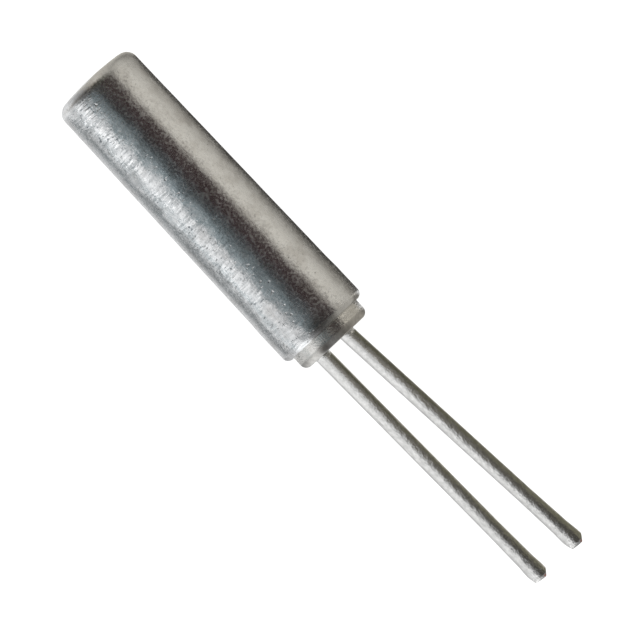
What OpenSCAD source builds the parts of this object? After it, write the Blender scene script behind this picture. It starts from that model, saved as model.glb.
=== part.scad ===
// Cylindrical quartz crystal unit with two wire leads.
// A drawn metal can is pressed over a glass-to-metal plug. Inside the sealed can a
// quartz tuning fork is soldered to the coined inner ends of the two leads.
// The unit lies on its side on the plane z = 0, with its leads side by side.
// Origin: centre of the overall box, on that plane. +X runs along the can's axis,
// from the closed end towards the lead tips. +Z is up. Millimetres.

/* [Can] */
// Length of the can, from the top of the closed end to the open rim
can_length = 4.82; // [4.2:0.02:7]
// Outside diameter of the straight land at the open end
can_d = 1.44; // [1.4:0.01:2]
// How much smaller the diameter is at the closed end, where the punch tapered the wall
can_draft = 0.08; // [0.03:0.01:0.1]
// How much of that difference comes from the ring, which spreads the can as it is pressed in
press_swell = 0.016; // [0.004:0.002:0.02]
// Length over which the can spreads
swell_length = 0.2; // [0.1:0.01:0.4]
// Thickness of the drawn wall
can_wall = 0.12; // [0.12:0.005:0.14]
// Outside radius of the bend from the closed end into the side
end_bend_r = 0.17; // [0.15:0.01:0.3]
// Height of the shallow dome that drawing leaves in the closed end
end_dome = 0.03; // [0.01:0.005:0.06]
// Rounding of the open rim's outer edge
rim_r = 0.1; // [0.02:0.005:0.1]
// Lead-in chamfer inside the open rim
rim_chamfer = 0.015; // [0.005:0.005:0.015]

/* [Plug ring] */
// Length of the ring that is pressed into the can
ring_seat = 0.75; // [0.5:0.01:1]
// How far the ring stands out of the can
ring_proud = 0.245; // [0.18:0.005:0.4]
// Wall thickness of the ring
ring_wall = 0.135; // [0.13:0.005:0.15]
// Rounding of the ring's outer edge on the lead side
ring_edge_r = 0.105; // [0.02:0.005:0.105]
// Rounding of the ring's edge inside the can, which guides it into the bore
ring_guide_r = 0.04; // [0.02:0.005:0.06]
// Chamfer of the ring's bore at both ends
ring_bore_chamfer = 0.01; // [0.005:0.005:0.02]

/* [Glass seal] */
// Depth of the glass below the ring's face on the lead side
glass_recess = 0.1; // [0.05:0.01:0.16]
// Depth of the glass below the ring's face inside the can
glass_recess_inside = 0.05; // [0.03:0.01:0.12]
// Sag of the fused glass between the ring and the leads
glass_sag = 0.035; // [0.01:0.005:0.06]
// Width of the glass that creeps up each lead
glass_creep = 0.04; // [0.02:0.005:0.06]

/* [Leads] */
// Diameter of the lead wire
lead_d = 0.24; // [0.18:0.01:0.28]
// Distance between the two leads where they leave the glass
lead_pitch = 0.46; // [0.42:0.01:0.52]
// Distance of the pair's middle from the can's axis, towards the left lead
lead_offset = 0.05; // [0:0.01:0.06]
// Reach of the left lead's foremost point beyond the ring, along the can's axis
left_reach = 4.41; // [2:0.01:12]
// Reach of the right lead's foremost point beyond the ring, along the can's axis
right_reach = 4.4; // [2:0.01:12]
// Lean of the left lead towards the right one, in degrees
left_lean = 1.5; // [0.5:0.1:4]
// Lean of the right lead away from the left one, in degrees
right_lean = 4.6; // [2:0.1:7]
// Radius of the bend where a lead leaves the glass
lead_bend_r = 1.5; // [0.8:0.1:3]

/* [Lead tips] */
// Diameter that the dipped tin gives a lead near its tip
tinned_d = 0.258; // [0.25:0.002:0.27]
// Length over which the tin builds up
tin_length = 1; // [0.5:0.05:1.5]
// Diameter of the bulge that the cropping blades squeeze up at the tip
tip_d = 0.28; // [0.27:0.002:0.3]
// Length of that bulge
bulge_length = 0.34; // [0.25:0.01:0.5]
// Rounding of the tip's edge
tip_round = 0.06; // [0.02:0.005:0.07]
// Slant of the end face across the lead, in degrees
end_slant = 9; // [8:1:12]
// Length of the bevel that the cropping blade leaves on one side of the tip
crop_length = 0.085; // [0.06:0.005:0.13]
// Angle between that bevel and the lead, in degrees
crop_angle = 40; // [30:1:42]
// Length of the shallow bevel from the opposite blade
nip_length = 0.16; // [0.1:0.01:0.24]
// Angle between the shallow bevel and the lead, in degrees
nip_angle = 10; // [2:1:10]

/* [Coined inner ends] */
// Width of the flat that is coined on a lead's inner end
coin_w = 0.33; // [0.28:0.01:0.36]
// Thickness of the coined flat
coin_t = 0.13; // [0.08:0.01:0.16]
// Length of the flat under the quartz
coin_length = 0.45; // [0.3:0.01:0.6]
// Rounding of the flat's end corners
coin_corner_r = 0.06; // [0.02:0.01:0.1]

/* [Quartz fork] */
// Width of one arm of the tuning fork
arm_w = 0.24; // [0.2:0.01:0.28]
// Width of the slot between the arms
slot_w = 0.12; // [0.08:0.01:0.16]
// Thickness of the quartz blank
quartz_t = 0.11; // [0.08:0.01:0.14]
// Length of the solid base that the arms grow from
base_length = 0.75; // [0.65:0.01:0.9]
// Gap between the plug and the quartz
plug_gap = 0.12; // [0.08:0.01:0.2]
// Free room between the arms' tips and the can's closed end
tip_room = 0.57; // [0.2:0.01:0.8]
// Depth of the notch on each side of the base, which keeps the vibration in the arms
notch_depth = 0.05; // [0.02:0.01:0.07]
// Width of that notch
notch_w = 0.08; // [0.04:0.01:0.1]

/* [Solder] */
// Thickness of the solder film between a flat and the quartz
solder_film = 0.02; // [0.01:0.005:0.04]
// Size of the solder fillet at the side of the quartz
solder_fillet = 0.08; // [0.04:0.005:0.09]

/* [Hidden] */
$fn = 96;

// How far a cutting shape runs past the surface that it cuts
past = 0.2;

// Radii worked out from the sizes above
can_r = can_d / 2;
bore_r = can_r - can_wall;
ring_r = bore_r;
glass_r = ring_r - ring_wall;
lead_r = lead_d / 2;
tip_r = tip_d / 2;

// Places along the axis, counted from the top of the closed end
rim_z = can_length;
ring_face_z = rim_z + ring_proud;
ring_back_z = rim_z - ring_seat;
glass_top_z = ring_face_z - glass_recess;
glass_back_z = ring_back_z + glass_recess_inside;
fork_back_z = ring_back_z - plug_gap;
fork_tip_z = can_wall + tip_room;
coin_end_z = fork_back_z - coin_length;

// The can's outside: the draft up to the ring's back, the swell, and a straight land
land_z = ring_back_z + swell_length;
end_r = can_r - can_draft / 2;
swell_r = can_r - press_swell / 2;
draft_slope = (swell_r - end_r) / ring_back_z;
draft_cos = 1 / sqrt(1 + draft_slope ^ 2);
// Radius of the dome that rises end_dome over the flat part of the end
dome_half = end_r - end_bend_r;
dome_r = (dome_half ^ 2 + end_dome ^ 2) / (2 * end_dome);
// Centre of the end bend: it touches the dome from inside and the drafted side
side_gap = end_r - end_bend_r / draft_cos;
bend_a = 1 + draft_slope ^ 2;
bend_b = dome_r - side_gap * draft_slope;
bend_c = side_gap ^ 2 + dome_r ^ 2 - (dome_r - end_bend_r) ^ 2;
bend_z = (bend_b - sqrt(bend_b ^ 2 - bend_a * bend_c)) / bend_a;
bend_centre = [side_gap + draft_slope * bend_z, bend_z];
dome_centre = [0, dome_r];

// Sideways places of the two leads, and of the quartz on top of them
left_y = -lead_offset - lead_pitch / 2;
right_y = -lead_offset + lead_pitch / 2;
fork_w = 2 * arm_w + slot_w;
film_top = coin_t / 2 + solder_film;

// Overall length, to put the origin under its middle
overall_length = ring_face_z + max(left_reach, right_reach);

// Where the bevel meets the slanted end face: across from the lead's centre line, and
// beyond the middle of the end face. This is the foremost point of a lead.
crop_edge = (tip_r - crop_length * tan(crop_angle)) / (1 + tan(end_slant) * tan(crop_angle));
crop_edge_ahead = crop_edge * tan(end_slant);

function unit(v) = v / norm(v);

// Lays a sub-part, built with the can's axis along +Z, down on its side.
module lay_down() {
    translate([-overall_length / 2, 0, can_r])
        rotate([0, 90, 0])
            children();
}

// What lies outside an arc of radius r round centre c, between the directions of a and b.
// Taking it away rounds the corner that the two directions enclose.
module corner_waste(c, r, a, b) {
    reach = r + past;
    difference() {
        polygon([c, c + reach * a, c + reach * 1.5 * unit(a + b), c + reach * b]);
        translate(c)
            circle(r);
    }
}

// Half outline of the can's outside, moved inwards by inset.
module can_outline(inset) {
    side = [1, -draft_slope] * draft_cos;
    end = unit(bend_centre - dome_centre);
    shift = inset / draft_cos;
    difference() {
        polygon([
            [0, 0],
            [end_r - shift, 0],
            [swell_r - shift, ring_back_z],
            [can_r - shift, land_z],
            [can_r - shift, rim_z],
            [0, rim_z]
        ]);
        // What lies above the dome, right across, so that it overlaps the bend's waste
        difference() {
            translate([0, -past])
                square([can_r, past + end_bend_r]);
            translate(dome_centre)
                circle(dome_r - inset);
        }
        corner_waste(bend_centre, end_bend_r - inset, side, end);
    }
}

module can() {
    rim_centre = [can_r - rim_r, rim_z - rim_r];
    color([0.74, 0.75, 0.76])
        lay_down()
            rotate_extrude()
                difference() {
                    can_outline(0);
                    intersection() {
                        can_outline(can_wall);
                        square([can_r, ring_back_z]);
                    }
                    // Straight bore that grips the ring
                    translate([0, ring_back_z - past / 2])
                        square([bore_r, ring_seat + past]);
                    polygon([
                        [bore_r - past, rim_z - rim_chamfer - past],
                        [bore_r + rim_chamfer + past, rim_z + past],
                        [bore_r - past, rim_z + past]
                    ]);
                    corner_waste(rim_centre, rim_r, [1, 0], [0, 1]);
                }
}

module stem_ring() {
    face_centre = [ring_r - ring_edge_r, ring_face_z - ring_edge_r];
    guide_centre = [ring_r - ring_guide_r, ring_back_z + ring_guide_r];
    color([0.78, 0.77, 0.74])
        lay_down()
            rotate_extrude()
                difference() {
                    translate([glass_r, ring_back_z])
                        square([ring_wall, ring_seat + ring_proud]);
                    corner_waste(face_centre, ring_edge_r, [1, 0], [0, 1]);
                    corner_waste(guide_centre, ring_guide_r, [1, 0], [0, -1]);
                    polygon([
                        [glass_r - past, ring_face_z - ring_bore_chamfer - past],
                        [glass_r + ring_bore_chamfer + past, ring_face_z + past],
                        [glass_r - past, ring_face_z + past]
                    ]);
                    polygon([
                        [glass_r - past, ring_back_z + ring_bore_chamfer + past],
                        [glass_r + ring_bore_chamfer + past, ring_back_z - past],
                        [glass_r - past, ring_back_z - past]
                    ]);
                }
}

module glass_seal() {
    sag_r = (glass_r ^ 2 + glass_sag ^ 2) / (2 * glass_sag);
    color([0.20, 0.24, 0.22])
        lay_down()
            difference() {
                intersection() {
                    translate([0, 0, glass_back_z])
                        cylinder(h = glass_top_z - glass_back_z, r = glass_r);
                    union() {
                        // Body of the glass, dished by its own surface tension
                        difference() {
                            translate([0, 0, glass_back_z - past])
                                cylinder(h = glass_top_z - glass_back_z + 2 * past, r = glass_r + past);
                            translate([0, 0, glass_top_z - glass_sag + sag_r])
                                sphere(sag_r);
                        }
                        // Collars where the glass has crept up the leads
                        for (y = [left_y, right_y])
                            translate([0, y, glass_top_z - glass_sag - past])
                                cylinder(
                                    h = glass_sag + past,
                                    r1 = lead_r + glass_creep * (1 + past / glass_sag),
                                    r2 = lead_r
                                );
                    }
                }
                for (y = [left_y, right_y])
                    translate([0, y, glass_back_z - past])
                        cylinder(h = glass_top_z - glass_back_z + 2 * past, r = lead_r);
            }
}

// Coined end of a lead: the round wire spreads into a flat, pointing down from z = 0.
module coined_end() {
    blend = plug_gap;
    length = blend + coin_length;
    // Just clears the corners of the flat's cross-section, so that it rounds only the blend
    envelope_r = norm([coin_w, coin_t]) / 2 + 0.01;
    intersection() {
        // Seen from above: the wire widens, and the flat's end corners are rounded
        rotate([90, 0, 90])
            linear_extrude(height = lead_d + past, center = true)
                difference() {
                    polygon([
                        [-lead_r, 0],
                        [-coin_w / 2, -blend],
                        [-coin_w / 2, -length],
                        [coin_w / 2, -length],
                        [coin_w / 2, -blend],
                        [lead_r, 0]
                    ]);
                    for (s = [-1, 1])
                        corner_waste(
                            [s * (coin_w / 2 - coin_corner_r), coin_corner_r - length],
                            coin_corner_r,
                            [s, 0],
                            [0, -1]
                        );
                }
        // Seen from the side: the wire gets thinner
        rotate([90, 0, 0])
            linear_extrude(height = coin_w + past, center = true)
                polygon([
                    [-lead_r, 0],
                    [-coin_t / 2, -blend],
                    [-coin_t / 2, -length],
                    [coin_t / 2, -length],
                    [coin_t / 2, -blend],
                    [lead_r, 0]
                ]);
        // Round where it leaves the wire
        union() {
            translate([0, 0, -blend])
                cylinder(h = blend, r1 = envelope_r, r2 = lead_r);
            translate([0, 0, -length - past])
                cylinder(h = coin_length + past, r = envelope_r);
        }
    }
}

// The part of a lead beyond its bend: straight, tinned, and cropped at the tip.
module cropped_wire(length) {
    block = 4 * tip_d;
    difference() {
        rotate_extrude()
            difference() {
                polygon([
                    [0, 0],
                    [lead_r, 0],
                    [lead_r, length - tin_length],
                    [tinned_d / 2, length - bulge_length],
                    [tip_r, length - bulge_length / 2],
                    [tip_r, length + crop_edge_ahead],
                    [0, length + crop_edge_ahead]
                ]);
                corner_waste(
                    [tip_r - tip_round, length + crop_edge_ahead - tip_round],
                    tip_round,
                    [1, 0],
                    [0, 1]
                );
            }
        // Slanted end face
        translate([0, 0, length])
            rotate([end_slant, 0, 0])
                translate([-block / 2, -block / 2, 0])
                    cube(block);
        // Bevel
        translate([0, tip_r, length - crop_length])
            rotate([crop_angle, 0, 0])
                translate([-block / 2, 0, -block / 2])
                    cube([block, block, 2 * block]);
        // Shallow bevel on the other side
        translate([0, -tip_r, length - nip_length])
            rotate([-nip_angle, 0, 0])
                translate([-block / 2, -block, 0])
                    cube(block);
    }
}

// One lead: coined end, straight stretch through the glass, bend, and cropped wire.
module lead(y, lean, reach) {
    beyond_bend = reach + glass_recess - lead_bend_r * sin(lean);
    straight = (beyond_bend + crop_edge * sin(lean)) / cos(lean) - crop_edge_ahead;
    color([0.73, 0.73, 0.70])
        lay_down()
            translate([0, y, 0]) {
                translate([0, 0, ring_back_z])
                    coined_end();
                translate([0, 0, ring_back_z])
                    cylinder(h = glass_top_z - ring_back_z, r = lead_r);
                translate([0, 0, glass_top_z]) {
                    translate([0, lead_bend_r, 0])
                        rotate([90, 0, -90])
                            rotate_extrude(angle = lean)
                                translate([lead_bend_r, 0])
                                    circle(lead_r);
                    translate([0, lead_bend_r * (1 - cos(lean)), lead_bend_r * sin(lean)])
                        rotate([-lean, 0, 0])
                            cropped_wire(straight);
                }
            }
}

module lead_left() {
    lead(left_y, left_lean, left_reach);
}

module lead_right() {
    lead(right_y, right_lean, right_reach);
}

module quartz_fork() {
    length = fork_back_z - fork_tip_z;
    color([0.86, 0.87, 0.84])
        lay_down()
            translate([-film_top - quartz_t, -lead_offset, fork_back_z])
                rotate([90, 0, 90])
                    linear_extrude(height = quartz_t)
                        difference() {
                            translate([-fork_w / 2, -length])
                                square([fork_w, length]);
                            // Slot with a round root
                            translate([-slot_w / 2, -length - past])
                                square([slot_w, length + past - base_length - slot_w / 2]);
                            translate([0, -base_length - slot_w / 2])
                                circle(slot_w / 2);
                            // Side notches between the mounting end and the arms
                            for (s = [-1, 1])
                                translate([s * fork_w / 2, -(coin_length + base_length) / 2])
                                    square([2 * notch_depth, notch_w], center = true);
                        }
}

// Solder under and beside the quartz. side is -1 for the left lead, 1 for the right.
module solder(side) {
    inner_edge = lead_pitch / 2 - coin_w / 2;
    quartz_edge = fork_w / 2;
    color([0.66, 0.67, 0.68])
        lay_down()
            translate([-coin_t / 2, -lead_offset, fork_back_z - coin_length + coin_corner_r])
                linear_extrude(height = coin_length - coin_corner_r)
                    to_side(side) {
                        // Film under the quartz, which runs on under the fillet
                        translate([-solder_film, inner_edge])
                            square([solder_film, quartz_edge - inner_edge + solder_fillet / 4]);
                        // Fillet beside the quartz
                        difference() {
                            translate([-solder_fillet, quartz_edge])
                                square(solder_fillet);
                            translate([-solder_fillet, quartz_edge + solder_fillet])
                                circle(solder_fillet);
                        }
                    }
}

// Mirrors a drawing to the left side of the pair when side is -1.
module to_side(side) {
    if (side < 0)
        mirror([0, 1])
            children();
    else
        children();
}

module solder_left() {
    solder(-1);
}

module solder_right() {
    solder(1);
}

can();
stem_ring();
glass_seal();
lead_left();
lead_right();
quartz_fork();
solder_left();
solder_right();
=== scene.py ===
# %% [markdown]
# # A tuning-fork crystal unit in a drawn metal can
#
# The object is a small electronic part: a quartz tuning fork, sealed in a metal can that is
# only 1.44 mm thick, with two wire leads. The CAD model gives its sizes and its place. This
# script loads that model as a fixed frame and gives every piece its visible form and finish.
#
# The frame comes first, because each later step asks it where a piece is.

# %% Load the frame
import math

import bmesh
import bpy
from mathutils import Matrix, Vector
from mathutils.geometry import delaunay_2d_cdt


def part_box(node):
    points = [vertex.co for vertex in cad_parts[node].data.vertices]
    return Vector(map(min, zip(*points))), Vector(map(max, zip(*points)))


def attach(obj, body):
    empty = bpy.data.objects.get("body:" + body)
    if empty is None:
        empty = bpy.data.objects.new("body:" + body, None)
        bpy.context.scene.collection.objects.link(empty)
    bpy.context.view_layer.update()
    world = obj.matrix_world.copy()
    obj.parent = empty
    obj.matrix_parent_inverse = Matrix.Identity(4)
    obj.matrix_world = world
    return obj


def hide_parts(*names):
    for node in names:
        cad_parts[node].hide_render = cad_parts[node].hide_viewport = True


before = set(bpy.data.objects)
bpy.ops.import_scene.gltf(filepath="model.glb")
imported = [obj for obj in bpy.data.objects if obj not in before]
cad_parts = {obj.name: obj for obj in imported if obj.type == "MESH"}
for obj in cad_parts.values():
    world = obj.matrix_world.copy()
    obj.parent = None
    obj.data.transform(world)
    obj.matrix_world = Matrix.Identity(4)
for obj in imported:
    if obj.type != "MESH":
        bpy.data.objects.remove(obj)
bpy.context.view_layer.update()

MM = 0.001
scene = bpy.context.scene
print("pieces in the frame:", ", ".join(sorted(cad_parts)))

# %% [markdown]
# ## Sizes
#
# A part this small is drawn in millimetres and stored in metres, so lengths are written here
# as a number times MM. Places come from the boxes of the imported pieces. What a box can't
# tell, such as the radius of a rounded edge, is written out once with the value that the
# part's drawing gives it.

# %% Sizes and places
can_low, can_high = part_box("can")
ring_low, ring_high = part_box("stem_ring")
glass_low, glass_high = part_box("glass_seal")
left_low, left_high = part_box("lead_left")
right_low, right_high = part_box("lead_right")

AXIS_Z = (can_low.z + can_high.z) / 2
CAN_R = (can_high.z - can_low.z) / 2
CAN_WALL = 0.12 * MM
BORE_R = CAN_R - CAN_WALL
RING_R = BORE_R
GLASS_R = (glass_high.z - glass_low.z) / 2
LEAD_R = 0.12 * MM
LEAD_PITCH = 0.46 * MM
LEAD_SHIFT = -0.05 * MM
CLOSED_X, RIM_X = can_low.x, can_high.x
RING_BACK_X, RING_FACE_X = ring_low.x, ring_high.x
GLASS_BACK_X, GLASS_FACE_X = glass_low.x, glass_high.x
LEFT_Y = LEAD_SHIFT - LEAD_PITCH / 2
RIGHT_Y = LEAD_SHIFT + LEAD_PITCH / 2

print(f"can {(RIM_X - CLOSED_X) / MM:.3f} mm long, {2 * CAN_R / MM:.3f} mm thick")
print(f"ring stands {(RING_FACE_X - RIM_X) / MM:.3f} mm out of the can")
for side, low, high in [("left", left_low, left_high), ("right", right_low, right_high)]:
    print(f"{side} lead {(high.x - low.x) / MM:.3f} mm long")

# %% [markdown]
# ## The camera
#
# The unit lies on its side and is seen from straight above, turned so that its leads point
# to the lower right. A small part is shot with a long lens from a distance of many times its
# own length, which keeps its edges almost parallel. The camera's roll is written as two
# directions on the floor: what is right and what is up in the picture.

# %% Place the camera
VIEW_WIDTH = 8.989 * MM
VIEW_ROLL = math.radians(46.91)
AIM = Vector((CLOSED_X + 4.678 * MM, 0.034 * MM, AXIS_Z))

lens = bpy.data.cameras.new("long_lens")
lens.lens = 300
lens.sensor_width = 36
view_distance = VIEW_WIDTH / 2 / math.tan(math.atan(lens.sensor_width / 2 / lens.lens))
lens.clip_start = 1 * MM
lens.clip_end = 10

camera = bpy.data.objects.new("camera", lens)
picture_right = Vector((math.cos(VIEW_ROLL), math.sin(VIEW_ROLL), 0))
picture_up = Vector((-math.sin(VIEW_ROLL), math.cos(VIEW_ROLL), 0))
toward_camera = Vector((0, 0, 1))
camera.matrix_world = Matrix.Translation(AIM + view_distance * toward_camera) @ Matrix(
    (picture_right, picture_up, toward_camera)
).transposed().to_4x4()
scene.collection.objects.link(camera)
scene.camera = camera
scene.view_settings.view_transform = "Standard"
print(f"camera {view_distance / MM:.1f} mm above the unit")

# %% [markdown]
# ## Nodes written as sums
#
# A material or a Geometry Nodes tree is a formula drawn as boxes and wires. Read as Python it
# stays short, so two small classes build it. Wire holds one output socket, and an operator on
# it adds a Math node. Bench holds a tree, and its one method makes every other kind of node.

# %% Wires and the bench
class Wire:
    """One output socket of a node. Python's operators on it add Math nodes to its tree."""

    def __init__(self, bench, socket):
        self.bench = bench
        self.socket = socket

    def maths(self, operation, *values):
        return self.bench.node("ShaderNodeMath", {"operation": operation}, dict(enumerate(values)))

    def __add__(self, other):
        return self.maths("ADD", self, other)

    def __sub__(self, other):
        return self.maths("SUBTRACT", self, other)

    def __rsub__(self, other):
        return self.maths("SUBTRACT", other, self)

    def __mul__(self, other):
        return self.maths("MULTIPLY", self, other)

    def __truediv__(self, other):
        return self.maths("DIVIDE", self, other)

    def __pow__(self, other):
        return self.maths("POWER", self, other)

    __radd__ = __add__
    __rmul__ = __mul__


class Bench:
    """A node tree to work on. node() makes any node, with its settings set first."""

    def __init__(self, tree):
        self.tree = tree

    def node(self, kind, settings=None, inputs=None, output=0):
        made = self.tree.nodes.new(kind)
        for name, value in (settings or {}).items():
            if name == "stops":
                set_stops(made.color_ramp, value)
            else:
                setattr(made, name, value)
        for name, value in (inputs or {}).items():
            socket = find_socket(made.inputs, name)
            if isinstance(value, Wire):
                self.tree.links.new(value.socket, socket)
            else:
                socket.default_value = value
        return Wire(self, find_socket(made.outputs, output)) if made.outputs else made


def find_socket(sockets, name):
    """A socket by its number, or by its name among those that the node's settings left on."""
    if isinstance(name, int):
        return sockets[name]
    return next(s for s in sockets if s.enabled and s.name == name)


def set_stops(ramp, stops):
    """Gives a colour ramp these (place, colour) stops, in rising order of place."""
    while len(ramp.elements) > 1:
        ramp.elements.remove(ramp.elements[-1])
    for number, (place, colour) in enumerate(stops):
        stop = ramp.elements[0] if number == 0 else ramp.elements.new(place)
        stop.position = place
        stop.color = (*colour, 1)


def sine(wire):
    return wire.maths("SINE", wire)


def cosine(wire):
    return wire.maths("COSINE", wire)


def between(wire, low, high):
    """0 where wire is at low or under, 1 at high or over, and even steps between."""
    inputs = {"Value": wire, "From Min": low, "From Max": high}
    return wire.bench.node("ShaderNodeMapRange", {"clamp": True}, inputs)


def band(wire, start, rise, full, fall=None):
    """A strip: 0 up to start, then up to 1 over rise, 1 for full, and down over fall."""
    top = start + rise
    end = top + full
    return between(wire, start, top) * (1 - between(wire, end, end + (fall or rise)))


def mix(factor, first, second):
    """A colour that goes from first to second as factor goes from 0 to 1."""
    inputs = {"Factor": factor, "A": first, "B": second}
    return factor.bench.node("ShaderNodeMix", {"data_type": "RGBA"}, inputs, "Result")


print("the bench is ready")

# %% [markdown]
# ## The floor
#
# The part lies on a white sheet that is lit a little more than the film can hold, as in a
# catalogue shot: only where the light hardly reaches, under the can, does it turn grey. A
# sheet that glows by itself, like a light table, gives the same even white. Metal would
# mirror it too strongly from so near, so the sheet is left out of the reflections, and the
# light tent of the next cell stands in for it there.

# %% White sheet and sky
FLOOR_HALF = 0.5
SHEET_GREY = (0.35, 0.35, 0.35, 1)
SHEET_GLOW = 0.85


def new_material(name):
    """An empty material, and the bench to fill it on."""
    material = bpy.data.materials.new(name)
    material.use_nodes = True
    material.node_tree.nodes.clear()
    return material, Bench(material.node_tree)


def new_object(name, mesh):
    made = bpy.data.objects.new(name, mesh)
    scene.collection.objects.link(made)
    return made


def finish_surface(bench, shader):
    bench.node("ShaderNodeOutputMaterial", {}, {"Surface": shader})


sheet_finish, bench = new_material("white_sheet")
sheet_shader = bench.node(
    "ShaderNodeBsdfPrincipled",
    {},
    {
        "Base Color": SHEET_GREY,
        "Roughness": 0.9,
        "Specular IOR Level": 0.0,
        "Emission Color": (1, 1, 1, 1),
        "Emission Strength": SHEET_GLOW,
    },
)
finish_surface(bench, sheet_shader)

sheet_mesh = bpy.data.meshes.new("floor")
corners = [(-1, -1), (1, -1), (1, 1), (-1, 1)]
sheet_mesh.from_pydata([(FLOOR_HALF * x, FLOOR_HALF * y, 0) for x, y in corners], [], [(0, 1, 2, 3)])
sheet_mesh.materials.append(sheet_finish)
floor = new_object("floor", sheet_mesh)
floor.visible_glossy = False

sky = bpy.data.worlds.new("white_room")
sky.use_nodes = True
sky.node_tree.nodes["Background"].inputs["Color"].default_value = (1, 1, 1, 1)
scene.world = sky
print("floor and room are white")

# %% [markdown]
# ## The light tent
#
# Polished metal shows nothing but its surroundings. Someone who lights a shiny cylinder
# rolls paper round it, lets some strips of it glow and leaves others dark, and each strip
# becomes a band along the metal. The tent here is such a roll of paper: a tube round the
# can's axis, whose glow is a ramp over the angle from straight up. It is cut into lengths,
# each with a ramp of its own: behind the closed end, round the can, round the ring and round
# the leads. Where a band of light changes along the metal, a length goes from a first glow
# to a last one.
#
# A row below is one strip: its angle, its paper, and one or two strengths of glow. The
# strips round the can stand for a simple room: a cream wall on the right, a dark gap
# overhead, and bright windows on the left with a darker bar between them.
#
# Angles are in degrees from straight up: minus is towards +Y, the right side of the part
# seen from the closed end, and plus is towards -Y, the left side.

# %% Papers and strips
WHITE = (1.0, 1.0, 1.0)
CREAM = (1.0, 0.95, 0.85)
OLIVE = (1.0, 0.95, 0.7)
BROWN = (1.0, 0.7, 0.7)
BLUE = (0.85, 1.0, 1.05)

CAN_LIGHT = [
    (-150, CREAM, 0.05, 0.05),
    (-130, CREAM, 0.05, 0.05),
    (-110, CREAM, 0.4, 0.2),
    (-90, CREAM, 0.6, 0.5),
    (-60, CREAM, 0.75, 0.75),
    (-45, CREAM, 0.7, 0.7),
    (-35, BROWN, 0.05, 0.05),
    (-10, BROWN, 0.05, 0.05),
    (5, BLUE, 0.05, 0.1),
    (30, BLUE, 0.4, 0.3),
    (45, WHITE, 1.0, 0.4),
    (60, WHITE, 1.0, 1.0),
    (70, WHITE, 1.5, 1.0),
    (80, BLUE, 0.3, 0.5),
    (90, WHITE, 0.8, 1.0),
    (110, BLUE, 0.2, 0.1),
    (130, WHITE, 0.8, 0.8),
]
LEAD_LIGHT = [
    (-170, CREAM, 0.6, 0.6),
    (-110, OLIVE, 0.1, 0.2),
    (-80, OLIVE, 0.1, 0.2),
    (-50, CREAM, 0.2, 0.05),
    (-20, CREAM, 0.3, 0.05),
    (0, WHITE, 0.7, 0.1),
    (20, WHITE, 0.8, 0.4),
    (40, WHITE, 1.0, 0.9),
    (90, WHITE, 1.0, 0.9),
    (130, WHITE, 0.6, 0.6),
]
RING_LIGHT = [
    (-130, WHITE, 1.0),
    (-110, CREAM, 0.7),
    (-80, CREAM, 0.3),
    (-60, CREAM, 0.1),
    (-40, WHITE, 0.05),
    (-25, WHITE, 0.05),
    (-10, CREAM, 0.25),
    (5, WHITE, 0.3),
    (15, WHITE, 0.05),
    (35, WHITE, 0.8),
    (50, WHITE, 1.0),
    (70, WHITE, 0.9),
    (85, WHITE, 0.5),
    (110, WHITE, 1.1),
    (130, WHITE, 0.4),
]
HIGH_WALL_LIGHT = [
    (-130, WHITE, 1.0),
    (-110, CREAM, 0.7),
    (-90, CREAM, 0.6),
    (-45, CREAM, 0.6),
    (-35, WHITE, 0.05),
    (-20, WHITE, 0.1),
    (0, CREAM, 0.25),
    (15, WHITE, 0.05),
    (35, WHITE, 0.7),
    (70, WHITE, 0.9),
    (130, WHITE, 0.4),
]
LOW_WALL_LIGHT = [
    (-160, CREAM, 0.3, 0.3),
    (-95, CREAM, 0.2, 0.2),
    (-75, CREAM, 0.5, 0.5),
    (-40, CREAM, 0.4, 0.5),
    (-20, CREAM, 0.2, 0.05),
    (5, WHITE, 0.3, 0.05),
    (25, WHITE, 0.5, 0.2),
    (35, WHITE, 1.2, 1.2),
    (50, WHITE, 1.4, 1.4),
    (75, WHITE, 1.1, 0.9),
    (95, WHITE, 0.6, 0.5),
    (160, WHITE, 0.6, 0.5),
]
END_LIGHT = [
    (-150, CREAM, 0.6, 0.6),
    (-130, CREAM, 0.25, 0.25),
    (-110, CREAM, 0.3, 0.3),
    (-90, CREAM, 0.5, 0.5),
    (-60, CREAM, 0.6, 0.6),
    (-40, CREAM, 0.4, 0.25),
    (-20, OLIVE, 0.1, 0.05),
    (30, WHITE, 0.05, 0.1),
    (50, WHITE, 0.05, 0.4),
    (65, WHITE, 0.2, 1.2),
    (90, WHITE, 0.4, 0.6),
    (100, WHITE, 1.2, 1.1),
    (135, WHITE, 0.9, 0.9),
]
print("strips round the can, the leads, the ring:", len(CAN_LIGHT), len(LEAD_LIGHT), len(RING_LIGHT))

# %% [markdown]
# ## Sleeves and cards
#
# A sleeve is a strip of paper bent round the axis between two rings. If the two rings lie at
# one place and differ in radius, the sleeve is a flat wall with a round hole. A card is a
# plain square. The glow is read from UV coordinates that are laid out with the paper: U goes
# round it or across it, and V goes from its first edge to its last.

# %% Tools for the tent
TENT_R = 2.6 * MM
TENT_SIDES = 120


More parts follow.
